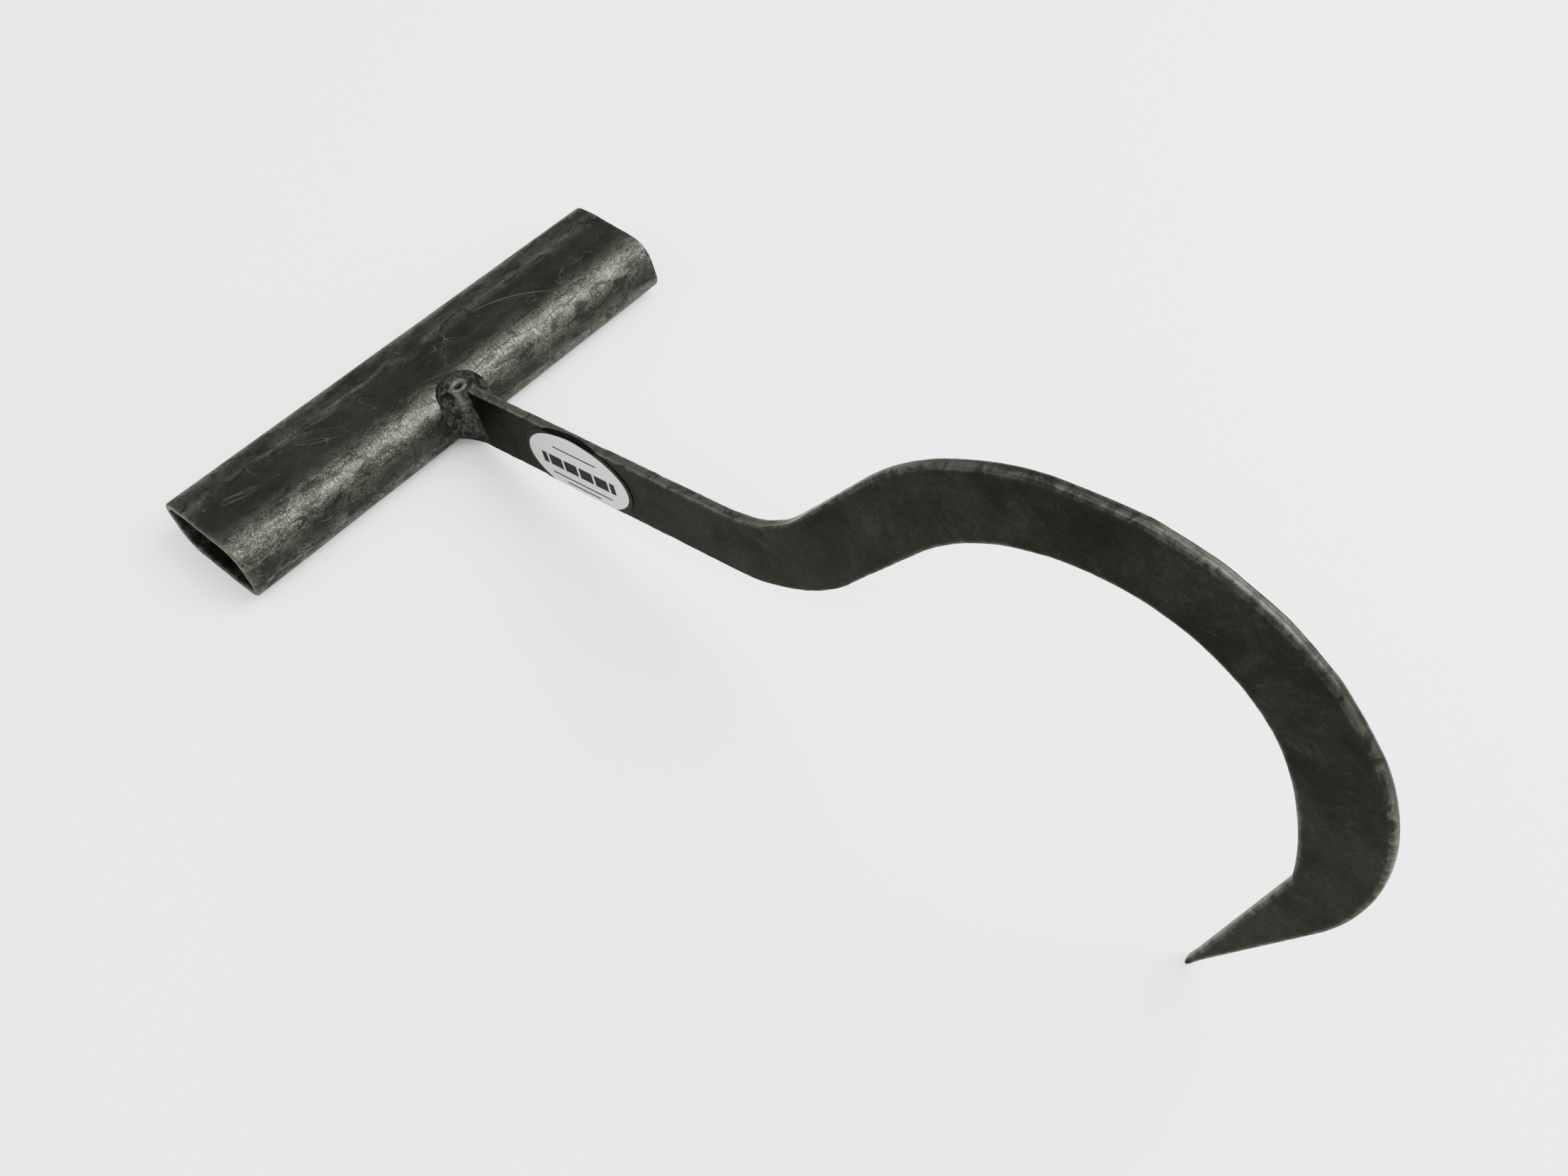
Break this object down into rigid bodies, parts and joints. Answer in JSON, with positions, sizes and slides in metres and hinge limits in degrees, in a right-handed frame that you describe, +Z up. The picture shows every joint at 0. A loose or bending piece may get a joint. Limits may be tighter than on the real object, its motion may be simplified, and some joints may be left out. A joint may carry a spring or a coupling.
{
  "type": "hand hook",
  "caption": "Steel hand hook: a flat bar bent and curled to a ground point, welded across the middle of a flattened tube that serves as a T grip.",
  "frame": {"origin": "on the bench under the middle of the tool's overall box, as it stands on the grip and the hook's point", "axes": "+X from the grip towards the hook, +Y along the grip away from the labelled face, +Z up from the bench"},
  "size_m": [0.281, 0.15, 0.1241],
  "materials": {
    "grip_steel": "tumbled dark mill scale, satin",
    "bar_steel": "forge-black scale with ground edges, satin",
    "weld_steel": "as-laid weld bead, dull",
    "label_vinyl": "silver printed film, scuffed"
  },
  "bodies": {
    "root": {"grip_tube": "grip_steel", "hook_bar": "bar_steel", "weld_near": "weld_steel", "weld_far": "weld_steel", "weld_top": "weld_steel", "weld_under": "weld_steel", "label_film": "label_vinyl"}
  },
  "joints": []
}
